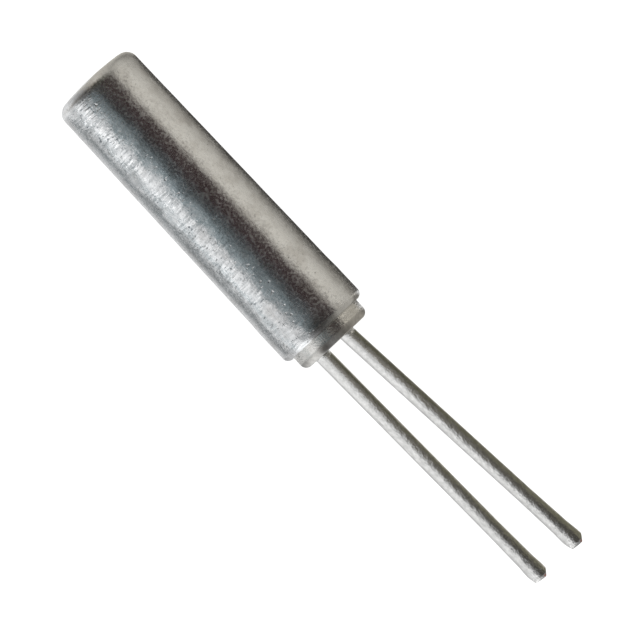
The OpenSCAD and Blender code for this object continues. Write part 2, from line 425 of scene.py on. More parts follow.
def glow(name, rows, low, high):
    """Paper that glows by a ramp over its U, which stands for the places from low to high.

    A row is (place, paper, glow) or (place, paper, first glow, last glow). With two the
    glow goes from the first to the last along the paper's V.
    """
    material, bench = new_material(name)
    place = bench.node("ShaderNodeTexCoord", {}, {}, "UV")
    share = bench.node("ShaderNodeSeparateXYZ", {}, {"Vector": place}, "X")
    shares = [(row[0] - low) / (high - low) for row in rows]
    papers, *glows = list(zip(*rows))[1:]
    ramps = []
    for levels in glows:
        colours = [[tint * level for tint in paper] for paper, level in zip(papers, levels)]
        stops = {"stops": list(zip(shares, colours))}
        ramps.append(bench.node("ShaderNodeValToRGB", stops, {"Fac": share}, "Color"))
    colour = ramps[0]
    if len(ramps) == 2:
        along = bench.node("ShaderNodeSeparateXYZ", {}, {"Vector": place}, "Y")
        colour = mix(along, ramps[0], ramps[1])
    light = bench.node("ShaderNodeEmission", {}, {"Color": colour})
    finish_surface(bench, light)
    # Only mirrored rays meet this paper, so it isn't sampled as a lamp.
    material.cycles.emission_sampling = "NONE"
    return material


def only_in_reflections(card):
    """The card lights nothing but what mirrors it, and neither camera nor shadow shows it."""
    card.visible_camera = False
    card.visible_diffuse = False
    card.visible_transmission = False
    card.visible_volume_scatter = False
    card.visible_shadow = False


def tent_sleeve(name, start, end, rows):
    """Paper round the can's axis between two rings, whose glow follows the angle from up.

    Each ring is a (place along, radius). Two radii at one place make a flat wall.
    """
    points, faces = [], []
    for side in range(TENT_SIDES + 1):
        angle = math.tau * (side / TENT_SIDES - 0.5)
        for x, radius in (start, end):
            points.append((x, -radius * math.sin(angle), AXIS_Z + radius * math.cos(angle)))
    for side in range(TENT_SIDES):
        faces.append((2 * side, 2 * side + 1, 2 * side + 3, 2 * side + 2))
    mesh = bpy.data.meshes.new(name)
    mesh.from_pydata(points, [], faces)
    share = mesh.uv_layers.new(name="round")
    for corner, loop in enumerate(mesh.loops):
        share.data[corner].uv = (loop.vertex_index // 2 / TENT_SIDES, loop.vertex_index % 2)
    mesh.materials.append(glow(name, rows, -180, 180))
    only_in_reflections(new_object(name, mesh))


def tent_card(name, x, rows):
    """A card across the tent. Its glow follows the place across, in millimetres."""
    bottom, top = AXIS_Z - TENT_R, AXIS_Z + TENT_R
    points = [(x, -TENT_R, bottom), (x, TENT_R, bottom), (x, TENT_R, top), (x, -TENT_R, top)]
    mesh = bpy.data.meshes.new(name)
    mesh.from_pydata(points, [], [(0, 1, 2, 3)])
    share = mesh.uv_layers.new(name="across")
    for corner, place in enumerate([(0, 0), (1, 0), (1, 1), (0, 1)]):
        share.data[corner].uv = place
    mesh.materials.append(glow(name, rows, -TENT_R / MM, TENT_R / MM))
    only_in_reflections(new_object(name, mesh))


print("a sleeve has", TENT_SIDES, "sides")

# %% [markdown]
# ## Roll and close the tent
#
# The can's length runs a little past its rim, because the rounded rim leans forward and
# mirrors what lies in front of it. Flat walls of paper stand just before the plug's ring,
# with the leads through their middle: a low one near the axis and a high one outside it.
# They give the rounded edges their own quieter light. A third wall, back to back with them,
# faces the leads. A card closes the tent at each end. All of it is seen in reflections only,
# so the camera looks straight through it, and it throws no shadow.

# %% Roll the tent
RING_LIGHT_X = RIM_X + 0.08 * MM
WALL_X = RING_FACE_X + 0.025 * MM
WALL_BACK_X = WALL_X + 0.01 * MM
TENT_BACK_X = CLOSED_X - 2.4 * MM
TENT_FRONT_X = left_high.x + 0.65 * MM
WALL_LOW, WALL_HIGH = 0.5 * MM, 1.6 * MM

# Across a card the place is in millimetres from the axis, from the left side to the right.
BACK_CARD_LIGHT = [
    (-2.6, WHITE, 0.95, 0.2),
    (-1.9, WHITE, 0.73, 0.1),
    (-1.2, WHITE, 0.69, 0.1),
    (-0.6, CREAM, 0.67, 0.4),
    (0, CREAM, 0.6, 0.71),
    (0.6, CREAM, 0.63, 0.63),
    (1.2, CREAM, 0.56, 0.56),
    (1.9, CREAM, 0.4, 0.4),
    (2.6, CREAM, 0.35, 0.35),
]
FRONT_CARD_LIGHT = [
    (-2.6, WHITE, 1.3),
    (-0.9, WHITE, 1.2),
    (-0.3, WHITE, 0.6),
    (0.4, WHITE, 0.3),
    (2.6, WHITE, 0.25),
]

for name, start, end, rows in [
    ("tent_behind_can", (TENT_BACK_X, TENT_R), (CLOSED_X, TENT_R), END_LIGHT),
    ("tent_round_can", (CLOSED_X, TENT_R), (RING_LIGHT_X, TENT_R), CAN_LIGHT),
    ("tent_round_ring", (RING_LIGHT_X, TENT_R), (WALL_X, TENT_R), RING_LIGHT),
    ("low_wall_before_ring", (WALL_X, WALL_LOW), (WALL_X, WALL_HIGH), LOW_WALL_LIGHT),
    ("high_wall_before_ring", (WALL_X, WALL_HIGH), (WALL_X, TENT_R), HIGH_WALL_LIGHT),
    ("wall_behind_leads", (WALL_BACK_X, WALL_LOW), (WALL_BACK_X, TENT_R), LEAD_LIGHT),
    ("tent_round_leads", (WALL_BACK_X, TENT_R), (TENT_FRONT_X, TENT_R), LEAD_LIGHT),
]:
    tent_sleeve(name, start, end, rows)
tent_card("card_behind_closed_end", TENT_BACK_X, BACK_CARD_LIGHT)
tent_card("card_before_leads", TENT_FRONT_X, FRONT_CARD_LIGHT)
print(f"tent from {TENT_BACK_X / MM:.2f} to {TENT_FRONT_X / MM:.2f} mm")

# %% [markdown]
# ## Tools for metal
#
# Real metal is never one even colour. Noise gives it patches, grain and dents. It is read
# from the object's own space, so it has no seam and stays with the piece. A noise whose
# coordinates are squeezed along X gives marks that are longer round the can than along it.
# All the metals share one shader, and only the wires that go into it differ.

# %% Noise, bumps and the metal shader
def place_along(bench, axis):
    """Where a point lies along one axis of the object's own space."""
    place = bench.node("ShaderNodeTexCoord", {}, {}, "Object")
    return bench.node("ShaderNodeSeparateXYZ", {}, {"Vector": place}, axis)


def noise(bench, place, cell, detail=2.0, rough=0.5):
    """Cloudy noise between 0 and 1, with blobs about as wide as cell."""
    inputs = {"Vector": place, "Scale": 1 / cell, "Detail": detail, "Roughness": rough}
    return bench.node("ShaderNodeTexNoise", {}, inputs, "Fac")


def marks(bench, cell, detail=2.0, rough=0.5, squeeze=1):
    """Noise in the object's own space, squeezed along X by a factor."""
    place = bench.node("ShaderNodeTexCoord", {}, {}, "Object")
    inputs = {0: place, 1: (squeeze, 1, 1)}
    squeezed = bench.node("ShaderNodeVectorMath", {"operation": "MULTIPLY"}, inputs)
    return noise(bench, squeezed, cell, detail, rough)


def bumps(bench, height):
    """A normal for a surface whose height is given in thousandths of a millimetre."""
    inputs = {"Strength": 1.0, "Distance": 0.001 * MM, "Height": height}
    return bench.node("ShaderNodeBump", {}, inputs)


def metal(bench, colour, roughness, normal):
    inputs = {"Base Color": colour, "Metallic": 1.0, "Roughness": roughness, "Normal": normal}
    finish_surface(bench, bench.node("ShaderNodeBsdfPrincipled", {}, inputs))


print("tools for metal are ready")

# %% [markdown]
# ## Finish of the can
#
# The can is drawn from nickel silver, plated, and then tumbled in bulk with thousands of
# others. So it is satin, not mirror bright. Most of it is calm: a fine grain, matt specks,
# soft patches of tarnish and a few pits. Down its left side, where the light falls, it has
# been handled, because such parts roll over each other: it is rougher in patches and has
# dark nicks, and short bright streaks round it and white sparkles are painted highlight.
# Where the bend of the closed end meets the side, a thin dark line of painted shade runs
# along it, and close to the rim, across the middle, the colour is darker.

# %% Tumble the can
CLEAN_NICKEL = (0.77, 0.78, 0.79, 1)
TARNISHED_NICKEL = (0.58, 0.575, 0.57, 1)
HIGHLIGHT_STREAK = (0.94, 0.95, 0.96, 1)
SHADED_STREAK = (0.52, 0.54, 0.55, 1)
PAINTED_GLINT = (1, 1, 1, 1)
BLACK_NICK = (0.2, 0.22, 0.24, 1)
PAINTED_CREASE_SHADE = (0.2, 0.17, 0.13, 1)
PIT_GREY = (0.38, 0.38, 0.37, 1)
DARK_RIM_PATCH_GREY = (0.2, 0.19, 0.18, 1)


def tumbled_nickel():
    material, bench = new_material("tumbled_nickel")
    along, across = place_along(bench, "X"), place_along(bench, "Y")
    past_bend = between(along, CLOSED_X + 0.1 * MM, CLOSED_X + 0.25 * MM)
    mottled = between(marks(bench, 0.07 * MM, 3.0, 0.65), 0.3, 0.7)

    # The handled strip down the left side, where the light falls: wear plus painted highlight.
    worn_lit_side = past_bend * band(across, -0.64 * MM, 0.12 * MM, 0.17 * MM, 0.37 * MM)
    rubbed_lit_patches = worn_lit_side * between(marks(bench, 0.28 * MM, 1.0), 0.2, 0.62)
    streaks = between(marks(bench, 0.22 * MM, 3.0, squeeze=6), 0.36, 0.64)
    glint_and_nick_noise = marks(bench, 0.09 * MM, 1.0, squeeze=2.5)
    # Bright and shaded streaks and white sparkles are painted highlight; black nicks are marks.
    streaks_and_glints = mix(streaks, SHADED_STREAK, HIGHLIGHT_STREAK)
    streaks_and_glints = mix(between(glint_and_nick_noise, 0.64, 0.7), streaks_and_glints, PAINTED_GLINT)
    streaks_and_glints = mix(between(glint_and_nick_noise, 0.36, 0.28), streaks_and_glints, BLACK_NICK)

    # The calm rest, and over both the painted crease shade, the pits and a darker patch near the
    # rim.
    tarnish = between(marks(bench, 0.3 * MM, 4.0, 0.7), 0.36, 0.56)
    calm = mix(0.3 * mottled + 0.7 * tarnish, TARNISHED_NICKEL, CLEAN_NICKEL)
    colour = mix(rubbed_lit_patches, calm, streaks_and_glints)
    # Painted shade: a thin dark line along the bend of the closed end, on the left side.
    crease_shade = band(along, CLOSED_X + 0.095 * MM, 0.03 * MM, 0.01 * MM)
    crease_shade = crease_shade * band(across, -0.66 * MM, 0.2 * MM, 0.44 * MM) * (0.3 + 0.35 * mottled)
    colour = mix(crease_shade, colour, PAINTED_CREASE_SHADE)
    pits = between(marks(bench, 0.055 * MM, 1.0), 0.72, 0.8) * past_bend
    colour = mix(pits, colour, PIT_GREY)
    # A darker patch close to the rim, across the middle of the can.
    dark_rim_patch = between(along, RIM_X - 0.3 * MM, RIM_X - 0.16 * MM)
    dark_rim_patch = dark_rim_patch * band(across, -0.3 * MM, 0.24 * MM, 0.04 * MM, 0.28 * MM)
    colour = mix(dark_rim_patch * (0.6 + 0.4 * mottled), colour, DARK_RIM_PATCH_GREY)

    specks = between(marks(bench, 0.035 * MM), 0.45, 0.8)
    roughness = 0.24 - rubbed_lit_patches * (0.03 + 0.09 * streaks) + 0.36 * specks * (1 - rubbed_lit_patches)

    scuffs = marks(bench, 0.18 * MM, 3.0, squeeze=5)
    grain = marks(bench, 0.035 * MM, 2.0, 0.6)
    dents = marks(bench, 0.32 * MM, 1.0)
    nicks = between(marks(bench, 0.08 * MM, 0.0, squeeze=2.5), 0.74, 0.82) * worn_lit_side
    height = 22 * scuffs * rubbed_lit_patches + grain * (2.6 + 3.4 * rubbed_lit_patches) + 13 * dents - 12 * nicks
    metal(bench, colour, roughness, bumps(bench, height))
    return material


can_finish = tumbled_nickel()
print("the can's finish has", len(can_finish.node_tree.nodes), "nodes")

# %% [markdown]
# ## Finish of the ring
#
# The ring's plating is smoother than the can's and only faintly clouded. Its rounded edge
# on the lead side is duller and blotchy, and painted shade darkens its colour, the more so
# towards -Y. A small black spot sits on top of it.

# %% Plate the ring
CLEAN_PLATING = (0.80, 0.79, 0.77, 1)
CLOUDED_PLATING = (0.62, 0.61, 0.58, 1)
WORN_SHADED_EDGE_LIGHT = (0.6, 0.59, 0.57, 1)
WORN_SHADED_EDGE_DARK = (0.36, 0.355, 0.34, 1)
DARK_SPOT_BLACK = (0.1, 0.09, 0.08, 1)


def bright_ring_plating():
    material, bench = new_material("bright_ring_plating")
    along, across = place_along(bench, "X"), place_along(bench, "Y")
    lumps = marks(bench, 0.09 * MM, 2.0, 0.6)
    grain = marks(bench, 0.03 * MM, 1.0, 0.6)
    cloud = marks(bench, 0.06 * MM, 3.0, 0.65)
    edge = between(along, RING_FACE_X - 0.12 * MM, RING_FACE_X - 0.09 * MM)
    shade = between(cloud, 0.3, 0.7) * (1 - 0.6 * edge)
    colour = mix(shade, CLOUDED_PLATING, CLEAN_PLATING)
    # Painted shade darkens the edge's colour, the more so towards -Y; the blotches are tone.
    blotches_and_side_shade = 0.55 * between(cloud, 0.35, 0.65) + 0.45 * between(across, -0.5 * MM, -0.2 * MM)
    colour = mix(edge, colour, mix(blotches_and_side_shade, WORN_SHADED_EDGE_DARK, WORN_SHADED_EDGE_LIGHT))

    # A small black spot on top of the edge.
    place = bench.node("ShaderNodeTexCoord", {}, {}, "Object")
    centre = (RING_FACE_X - 0.02 * MM, -0.2 * MM, AXIS_Z + RING_R)
    away = bench.node("ShaderNodeVectorMath", {"operation": "DISTANCE"}, {0: place, 1: centre}, 1)
    dark_spot = (1 - between(away, 0.07 * MM, 0.16 * MM)) * (0.5 + 0.5 * cloud)
    colour = mix(dark_spot, colour, DARK_SPOT_BLACK)

    roughness = 0.18 + 0.1 * cloud + 0.2 * edge
    normal = bumps(bench, (1.6 + 4 * edge) * lumps + 4 * grain)
    metal(bench, colour, roughness, normal)
    return material


ring_finish = bright_ring_plating()
print("the ring's finish has", len(ring_finish.node_tree.nodes), "nodes")

# %% [markdown]
# ## Finish of the leads
#
# The leads are dipped in molten tin, which sets with a lumpy skin that gets thicker towards
# the tip. Where the blades went through the tin they laid the wire's reddish core bare. That
# spot is an attribute of the mesh, which the tree that bends the lead writes.

# %% Dip the leads
CLEAN_TIN = (0.84, 0.84, 0.83, 1)
CLOUDED_TIN = (0.66, 0.66, 0.65, 1)
CORE_RED = (0.66, 0.38, 0.32, 1)


def dipped_tin():
    material, bench = new_material("dipped_tin")
    lumps = marks(bench, 0.09 * MM, 2.0, 0.55, squeeze=0.8)
    grain = marks(bench, 0.032 * MM, 1.0, 0.6)
    cloud = marks(bench, 0.06 * MM, 3.0, 0.6, squeeze=0.8)
    along = place_along(bench, "X")
    outer = between(along, RING_FACE_X + 0.15 * MM, RING_FACE_X + 1.2 * MM)
    normal = bumps(bench, (2 + 14 * outer) * lumps + (2 + 4 * outer) * grain)
    colour = mix(between(cloud, 0.3, 0.7), CLOUDED_TIN, CLEAN_TIN)
    bare = bench.node("ShaderNodeAttribute", {"attribute_name": "bare_core"}, {}, "Fac")
    colour = mix(bare, colour, CORE_RED)
    metal(bench, colour, 0.12 + 0.06 * cloud + 0.1 * bare, normal)
    return material


lead_finish = dipped_tin()
print("the leads' finish has", len(lead_finish.node_tree.nodes), "nodes")

# %% [markdown]
# ## Turned pieces
#
# The can is drawn over a punch and the ring is turned on a lathe, so both are bodies of
# revolution. Their form follows a rule: walk along half the outline, a straight stretch here
# and a bend there, and turn that line round the axis. The tree below does exactly that on a
# grid. One direction of the grid walks, the other goes round. Each step of the walk is an
# input of the tree, so a length or a radius can be changed without touching the nodes.

# %% A tree that walks an outline and turns it
AROUND = 256
SHARP_ANGLE = math.radians(32)
MERGE_DISTANCE = 0.0001 * MM
WAVE_CELL = 0.45 * MM


class GeometryBench(Bench):
    """A bench for a Geometry Nodes tree, whose sizes are named inputs."""

    def __init__(self, name):
        super().__init__(bpy.data.node_groups.new(name, "GeometryNodeTree"))
        self.tree.interface.new_socket("Geometry", in_out="OUTPUT", socket_type="NodeSocketGeometry")
        self.entry = self.tree.nodes.new("NodeGroupInput")

    def size(self, name, kind="Float"):
        """The input of this name, made when it is first asked for."""
        if name not in self.entry.outputs:
            self.tree.interface.new_socket(name, in_out="INPUT", socket_type="NodeSocket" + kind)
        return Wire(self, self.entry.outputs[name])

    def finish(self, geometry, material):
        """The tree's last nodes: edges that show, real geometry, the material, the output."""
        angle = self.node("GeometryNodeInputMeshEdgeAngle", {}, {}, "Unsigned Angle")
        inputs = {"Distance": MERGE_DISTANCE, "Geometry": geometry}
        merged = self.node("GeometryNodeMergeByDistance", {}, inputs)
        sharp = angle.maths("GREATER_THAN", angle, SHARP_ANGLE)
        inputs = {"Geometry": merged, "Selection": sharp, "Shade Smooth": False}
        shaded = self.node("GeometryNodeSetShadeSmooth", {"domain": "EDGE"}, inputs)
        real = self.node("GeometryNodeRealizeInstances", {}, {"Geometry": shaded})
        inputs = {"Geometry": real, "Material": material}
        painted = self.node("GeometryNodeSetMaterial", {}, inputs)
        self.node("NodeGroupOutput", {}, {"Geometry": painted})


def walk(bench, row, steps, along, out, heading):
    """Each row's place along a chain of steps, and the way it faces after the arcs so far.

    A step is (kind, title, rows). A line goes straight on, left and right bend by an arc,
    and a corner turns on the spot.
    """
    first = 0
    facing = heading
    for kind, title, rows in steps:
        if kind == "line":
            length = bench.size(title)
            stretch = length * between(row, first, first + rows)
            along = along + stretch * cosine(heading)
            out = out + stretch * sine(heading)
        elif kind == "corner":
            heading = heading + bench.size(title + " turn")
        else:
            side = 1 if kind == "left" else -1
            radius = side * bench.size(title + " radius")
            turn = side * bench.size(title + " turn")
            so_far = turn * between(row, first, first + rows)
            now = heading + so_far
            along = along + radius * (sine(now) - sine(heading))
            out = out - radius * (cosine(now) - cosine(heading))
            heading = heading + turn
            facing = facing + so_far
        first += rows
    return along, out, facing


def grid_places(bench, rows, around):
    """A grid, the row number of each of its points, and the angle round the axis.

    The grid's last column gets the angle of the first, so that the two merge.
    """
    inputs = {"Size X": 1.0, "Size Y": 1.0, "Vertices X": rows, "Vertices Y": around + 1}
    grid = bench.node("GeometryNodeMeshGrid", {}, inputs, "Mesh")
    place = bench.node("GeometryNodeInputPosition")
    x = bench.node("ShaderNodeSeparateXYZ", {}, {"Vector": place}, "X")
    y = bench.node("ShaderNodeSeparateXYZ", {}, {"Vector": place}, "Y")
    row = x.maths("ROUND", (x + 0.5) * (rows - 1))
    column = y.maths("ROUND", (y + 0.5) * around)
    column = column.maths("FLOORED_MODULO", column, around)
    return grid, row, column * (math.tau / around)


def turned_tree(name, steps):
    bench = GeometryBench(name)
    material = bench.size("Material", "Material")
    rows = 1 + sum(step[2] for step in steps)
    grid, row, angle = grid_places(bench, rows, AROUND)
    along, out = bench.size("Start along"), bench.size("Start radius")
    heading = bench.size("Start heading")
    along, out, _ = walk(bench, row, steps, along, out, heading)
    wave_depth = bench.size("Waviness")
    inputs = {"X": along, "Y": out * sine(angle), "Z": out * cosine(angle)}
    even = bench.node("ShaderNodeCombineXYZ", {}, inputs)
    wave = (noise(bench, even, WAVE_CELL, 1.0) - 0.5) * wave_depth * out / CAN_R
    out = out + wave
    inputs = {"X": along, "Y": out * sine(angle), "Z": out * cosine(angle) + AXIS_Z}
    place = bench.node("ShaderNodeCombineXYZ", {}, inputs)
    turned = bench.node("GeometryNodeSetPosition", {}, {"Geometry": grid, "Position": place})
    bench.finish(turned, material)
    return bench.tree


def grow(name, tree, sizes):
    """Runs a tree with these sizes and keeps what it made as a plain mesh."""
    made = new_object(name, bpy.data.meshes.new(name))
    modifier = made.modifiers.new("shape", "NODES")
    modifier.node_group = tree
    for item in tree.interface.items_tree:
        if item.in_out == "INPUT":
            modifier[item.identifier] = sizes[item.name]
    graph = bpy.context.evaluated_depsgraph_get()
    mesh = bpy.data.meshes.new_from_object(made.evaluated_get(graph))
    made.modifiers.remove(modifier)
    made.data = mesh
    mesh.name = name
    return made


def measure(made):
    """Prints a piece's size, and whether it is closed with its faces outward."""
    shape = bmesh.new()
    shape.from_mesh(made.data)
    open_edges = sum(not edge.is_manifold for edge in shape.edges)
    volume = shape.calc_volume(signed=True) / MM**3
    triangles = sum(len(face.verts) - 2 for face in shape.faces)
    shape.free()
    low = [min(v.co[i] for v in made.data.vertices) / MM for i in range(3)]
    high = [max(v.co[i] for v in made.data.vertices) / MM for i in range(3)]
    print(f"{made.name}: {triangles} triangles, {open_edges} open edges, {volume:.4f} mm3")
    print("   from", [round(v, 4) for v in low], "to", [round(v, 4) for v in high])


print("turning tree ready,", AROUND, "steps round")

# %% [markdown]
# ## The can
#
# A drawn can starts as a flat disc. The punch leaves a slightly domed end, a small bend into
# the side, and a side that widens by some hundredths of a millimetre towards the open rim,
# so that the can comes off the punch. The last stretch is pressed over the ring, which
# spreads it a little more and straightens it. The inside repeats the outside at the wall's
# distance.

# %% Draw the can
CAN_DRAFT = 0.08 * MM
PRESS_SWELL = 0.016 * MM
SWELL_LENGTH = 0.2 * MM
END_BEND_R = 0.17 * MM
END_DOME = 0.03 * MM
RIM_R = 0.1 * MM
RIM_CHAMFER = 0.015 * MM
CAN_WAVINESS = 0.004 * MM
quarter = math.radians(90)

drafted = RING_BACK_X - CLOSED_X
end_r = CAN_R - CAN_DRAFT / 2
draft = math.atan((CAN_DRAFT - PRESS_SWELL) / 2 / drafted)
swell = math.atan(PRESS_SWELL / 2 / SWELL_LENGTH)
dome_half = end_r - END_BEND_R
dome_r = (dome_half**2 + END_DOME**2) / (2 * END_DOME)

# The bend's centre is END_BEND_R inside both the dome and the drafted side. How far along it
# lies is the nearer root of a quadratic.
side_gap = end_r - END_BEND_R / math.cos(draft)
slope = math.tan(draft)
square_term = 1 + slope**2
half_linear_term = dome_r - side_gap * slope
constant_term = side_gap**2 + dome_r**2 - (dome_r - END_BEND_R) ** 2
root = math.sqrt(half_linear_term**2 - square_term * constant_term)
bend_x = (half_linear_term - root) / square_term
bend_out = side_gap + slope * bend_x
dome_turn = math.atan2(bend_out, dome_r - bend_x)
bend_turn = quarter - dome_turn - draft
side_start = bend_x - END_BEND_R * math.sin(draft)
side_length = (drafted - side_start) / math.cos(draft)
inner_step = PRESS_SWELL / 2

can_steps = [
    ("right", "Dome", 16),
    ("right", "End bend", 20),
    ("line", "Drafted side", 110),
    ("corner", "Swell", 0),
    ("line", "Swell", 8),
    ("corner", "Land", 0),
    ("line", "Land", 14),
    ("right", "Rim", 16),
    ("line", "Rim face", 1),
    ("corner", "Chamfer", 0),
    ("line", "Chamfer", 2),
    ("corner", "Bore", 0),
    ("line", "Bore", 8),
    ("corner", "Bore step", 0),
    ("line", "Bore step", 1),
    ("corner", "Inner side", 0),
    ("line", "Inner side", 20),
    ("left", "Inner bend", 8),
    ("left", "Inner dome", 10),
]
can_sizes = {
    "Material": can_finish,
    "Start along": CLOSED_X,
    "Start radius": 0.0,
    "Start heading": quarter,
    "Dome radius": dome_r,
    "Dome turn": dome_turn,
    "End bend radius": END_BEND_R,
    "End bend turn": bend_turn,
    "Drafted side": side_length,
    "Swell turn": swell - draft,
    "Swell": SWELL_LENGTH / math.cos(swell),
    "Land turn": -swell,
    "Land": RIM_X - RIM_R - RING_BACK_X - SWELL_LENGTH,
    "Rim radius": RIM_R,
    "Rim turn": quarter,
    "Rim face": CAN_WALL - RIM_R - RIM_CHAMFER,
    "Chamfer turn": -quarter / 2,
    "Chamfer": RIM_CHAMFER * math.sqrt(2),
    "Bore turn": -quarter / 2,
    "Bore": RIM_X - RIM_CHAMFER - RING_BACK_X,
    "Bore step turn": quarter,
    "Bore step": inner_step + CAN_WALL * (1 / math.cos(draft) - 1),
    "Inner side turn": draft - quarter,
    "Inner side": side_length + CAN_WALL * math.tan(draft),
    "Inner bend radius": END_BEND_R - CAN_WALL,
    "Inner bend turn": bend_turn,
    "Inner dome radius": dome_r - CAN_WALL,
    "Inner dome turn": dome_turn,
    "Waviness": CAN_WAVINESS,
}
can = grow("can_shell", turned_tree("drawn_can", can_steps), can_sizes)
measure(can)

# %% [markdown]
# ## The ring
#
# The ring is the metal part of the plug that closes the can. It is turned from bar, so its
# edge on the lead side is rounded, its bore has a small chamfer at both ends, and it fits
# tightly in the can.

# %% Turn the ring
RING_EDGE_R = 0.105 * MM
RING_GUIDE_R = 0.04 * MM
RING_CHAMFER = 0.01 * MM
RING_WAVINESS = 0.002 * MM
ring_wall = RING_R - GLASS_R
ring_length = RING_FACE_X - RING_BACK_X

ring_steps = [
    ("line", "Back chamfer", 2),
    ("corner", "Back", 0),
    ("line", "Back face", 3),
    ("right", "Guide edge", 8),
    ("line", "Outside", 40),
    ("right", "Face edge", 16),
    ("line", "Front face", 4),
    ("corner", "Front chamfer", 0),
    ("line", "Front chamfer", 2),
    ("corner", "Bore", 0),
    ("line", "Bore", 20),
]
ring_sizes = {
    "Material": ring_finish,
    "Start along": RING_BACK_X + RING_CHAMFER,
    "Start radius": GLASS_R,
    "Start heading": 1.5 * quarter,
    "Back chamfer": RING_CHAMFER * math.sqrt(2),
    "Back turn": -quarter / 2,
    "Back face": ring_wall - RING_CHAMFER - RING_GUIDE_R,
    "Guide edge radius": RING_GUIDE_R,
    "Guide edge turn": quarter,
    "Outside": ring_length - RING_GUIDE_R - RING_EDGE_R,
    "Face edge radius": RING_EDGE_R,
    "Face edge turn": quarter,
    "Front face": ring_wall - RING_EDGE_R - RING_CHAMFER,
    "Front chamfer turn": -quarter / 2,
    "Front chamfer": RING_CHAMFER * math.sqrt(2),
    "Bore turn": -quarter / 2,
    "Bore": ring_length - 2 * RING_CHAMFER,
    "Waviness": RING_WAVINESS,
}
ring = grow("plug_ring", turned_tree("turned_ring", ring_steps), ring_sizes)
measure(ring)

# %% [markdown]
# ## The leads
#
# A lead is a length of alloy wire. Its inner end is coined to a flat that carries the quartz,
# it passes through the glass, bends a little, and runs on straight. Dipping in tin makes it
# thicker towards its end, and the blades that crop it squeeze up a bulge just before the cut.
# The same walk that draws an outline also lays the wire's middle line. A cross-section is set
# round it, square where it is coined and round elsewhere, and three planes cut the tip: a
# slanted end face, a bevel from one blade and a shallow one from the other. Opposite the
# bevel the corner is rounded.

# %% Lay the lead's middle line
COIN_SQUARE = 0.3
LEAD_AROUND = 96
CAP_ROWS, EDGE_ROWS = 14, 10

lead_steps = [
    ("line", "Coined flat", 14),
    ("line", "Blend", 10),
    ("line", "Through the ring", 20),
    ("left", "Bend", 12),
    ("line", "Shank", 80),
    ("line", "Tin", 20),
    ("line", "Bulge", 10),
    ("line", "Tip", 24),
]
STRAIGHT_STEPS = ("Shank", "Tin", "Bulge", "Tip")
step_starts = {}
lead_rows = 0
for kind, title, rows in lead_steps:
    step_starts[title] = lead_rows
    lead_rows += rows


def share_of(row, title):
    """How much of a step of the lead lies behind a row, from 0 to 1."""
    rows = next(step[2] for step in lead_steps if step[1] == title)
    return between(row, step_starts[title], step_starts[title] + rows)


def signed_power(wire, power):
    """A power that keeps the sign. Values that only rounding keeps from 0 become 0."""
    size = wire.maths("MAXIMUM", wire.maths("ABSOLUTE", wire) - 1e-5, 0.0)
    return wire.maths("SIGN", wire) * size**power


print(lead_rows, "rows along a lead")

# %% [markdown]
# ## Bend and crop a lead
#
# The tree below does the three jobs in order: it sets the section round the middle line,
# cuts the points that lie past the planes, and turns each section to face along the wire.
# The cuts use a smooth minimum, which blunts the edges a little, as real cut tin is.

# %% A tree that bends and crops a lead
def lead_section(bench, row, counted, angle):
    """Where each point lies across its row's section: to the side, and up."""
    wire_r, tinned_r, tip_r = (bench.size(n + " radius") for n in ("Wire", "Tinned", "Tip"))
    roundness = share_of(row, "Blend")
    radius = wire_r + (tinned_r - wire_r) * share_of(row, "Tin")
    radius = radius + (tip_r - tinned_r) * share_of(row, "Bulge")
    half_w, half_t = bench.size("Coin width") / 2, bench.size("Coin thickness") / 2
    half_w = half_w + (radius - half_w) * roundness
    half_t = half_t + (radius - half_t) * roundness

    # Past the last step the edge rounds off by a quarter circle, and both ends close.
    edge_turn = between(row, lead_rows, lead_rows + EDGE_ROWS) * quarter
    inset = bench.size("Edge rounding") * (1 - cosine(edge_turn))
    closing = 1 - between(row, lead_rows + EDGE_ROWS, lead_rows + EDGE_ROWS + CAP_ROWS)
    closing = closing * between(counted, 0, CAP_ROWS)
    power = COIN_SQUARE + (1 - COIN_SQUARE) * roundness
    side = (half_w - inset) * closing * signed_power(sine(angle), power)
    up = (half_t - inset) * closing * signed_power(cosine(angle), power)
    return side, up, bench.size("Edge rounding") * sine(edge_turn)


def crop_tip(bench, ahead, side):
    """Cuts a point that lies ahead of the bend, and to the side, by the three planes.

    Opposite the bevel the tin has flowed into a rounded corner.
    """
    blunt, corner = bench.size("Blunting"), bench.size("Corner")
    length, tip_r = bench.size("Straight length"), bench.size("Tip radius")
    end_face = length + side * bench.size("End slope")
    bevel = length - bench.size("Crop length") + (tip_r - side) / bench.size("Crop slope")
    rounded = length - corner / 2 + (tip_r + side) / bench.size("Corner slope")
    kept = ahead.maths("SMOOTH_MIN", ahead, end_face, blunt)
    kept = kept.maths("SMOOTH_MIN", kept, bevel, blunt)
    kept = kept.maths("SMOOTH_MIN", kept, rounded, corner)
    nip_start = length - bench.size("Nip length")
    nip = (kept - nip_start) * bench.size("Nip slope") - tip_r
    return kept, side.maths("SMOOTH_MAX", side, nip, blunt)


